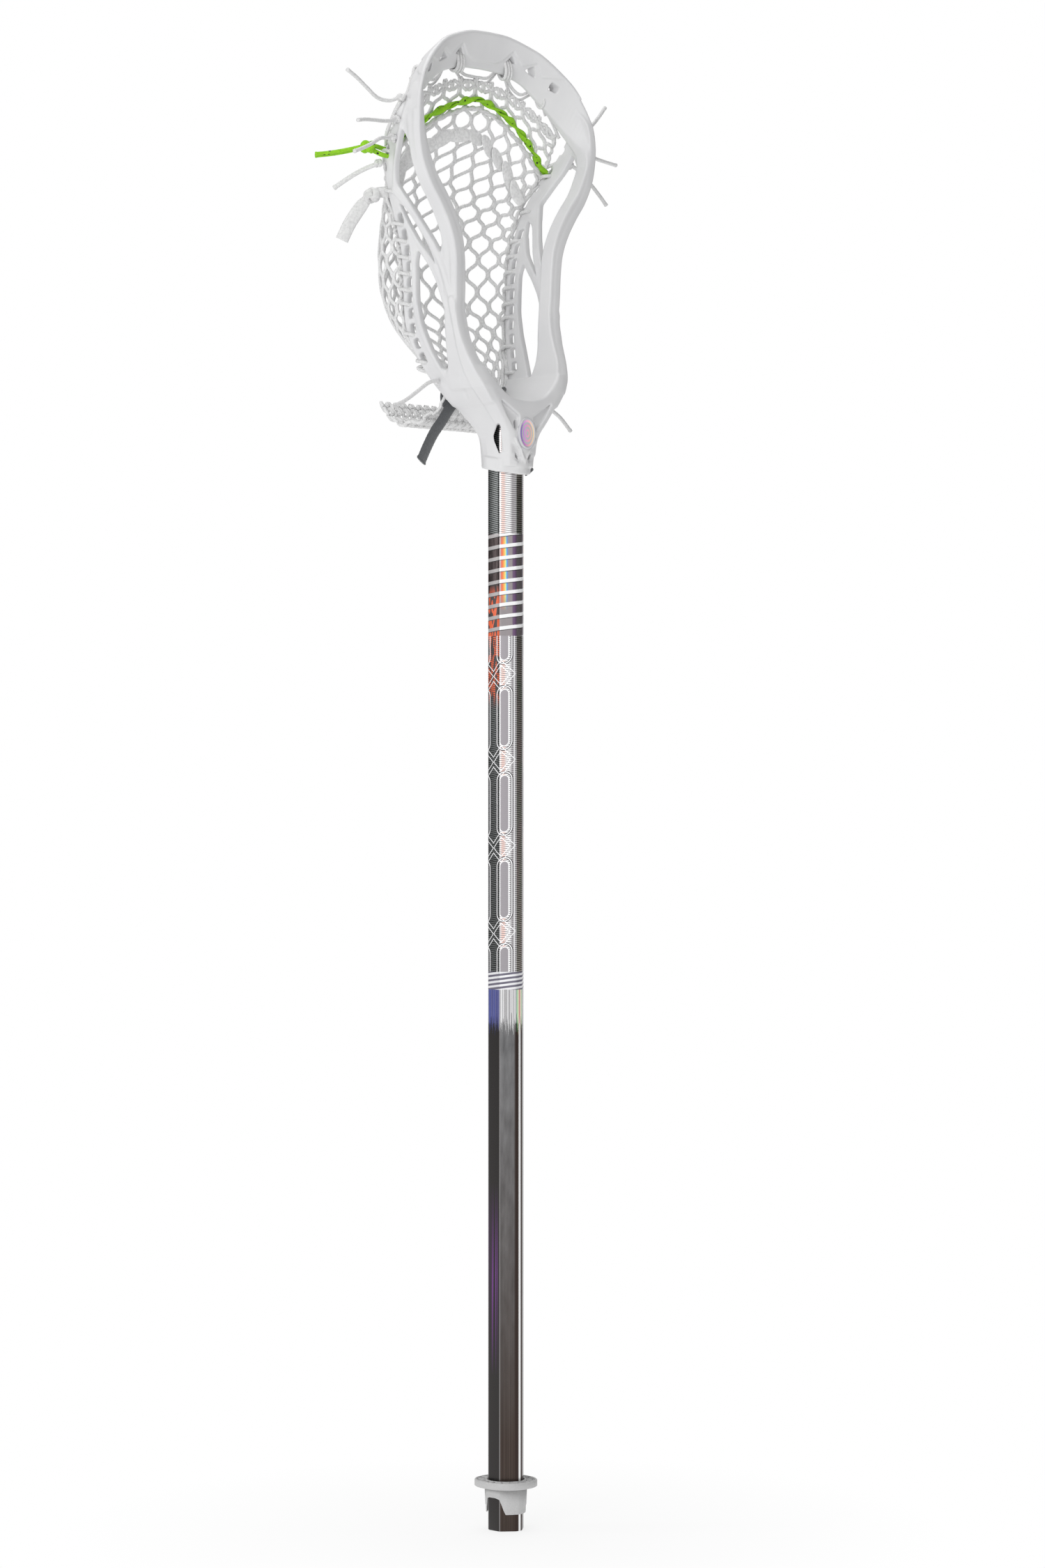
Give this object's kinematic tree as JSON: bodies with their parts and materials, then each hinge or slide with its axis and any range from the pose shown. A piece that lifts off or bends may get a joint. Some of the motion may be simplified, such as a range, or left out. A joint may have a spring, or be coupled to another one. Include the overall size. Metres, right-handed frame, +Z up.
{
  "type": "lacrosse stick",
  "caption": "Lacrosse stick: moulded head with laced mesh pocket and shooting strings, on an octagonal metal shaft with a butt collar.",
  "frame": {"origin": "centre of the butt end of the shaft", "axes": "+Z up the shaft towards the head, -Y towards the open face of the pocket, +X to the right of that face"},
  "size_m": [0.257, 0.1256, 1.0162],
  "materials": {
    "nylon": "moulded white nylon, satin",
    "screw_steel": "plated steel",
    "badge": "plain iridescent badge",
    "shaft_metal": null,
    "plug": "black rubber",
    "collar": "light grey moulded plastic",
    "mesh": "white knitted polyester mesh",
    "string_white": "white woven nylon string and lace",
    "lace_green": "bright green woven lace with dark flecks",
    "lace_dark": "dark grey woven flat lace"
  },
  "bodies": {
    "root": {"head": "nylon", "head_screw": "screw_steel", "throat_badge": "badge", "shaft": "shaft_metal", "butt_plug": "plug", "butt_collar": "collar", "mesh_pocket": "mesh", "mesh_tail": "mesh", "shooting_lace_green": "lace_green", "green_knot": "lace_green", "green_end": "lace_green", "tail_green": "lace_green", "bottom_lace": "lace_dark", "tail_dark_left": "lace_dark", "tail_dark_right": "lace_dark", "top_string": "string_white", "sidewall_string_left": "string_white", "sidewall_string_right": "string_white", "shooting_cord_white": "string_white", "shooting_lace_wide": "string_white", "knots_left": "string_white", "knots_right": "string_white", "wide_lace_knot": "string_white", "wide_lace_end": "string_white", "tail_left_top": "string_white", "tail_left_middle": "string_white", "tail_left_low": "string_white", "tail_left_thick": "string_white", "tail_right_top": "string_white", "tail_right_middle": "string_white", "tail_right_low": "string_white", "tail_throat_left": "string_white", "tail_throat_right": "string_white"}
  },
  "joints": []
}
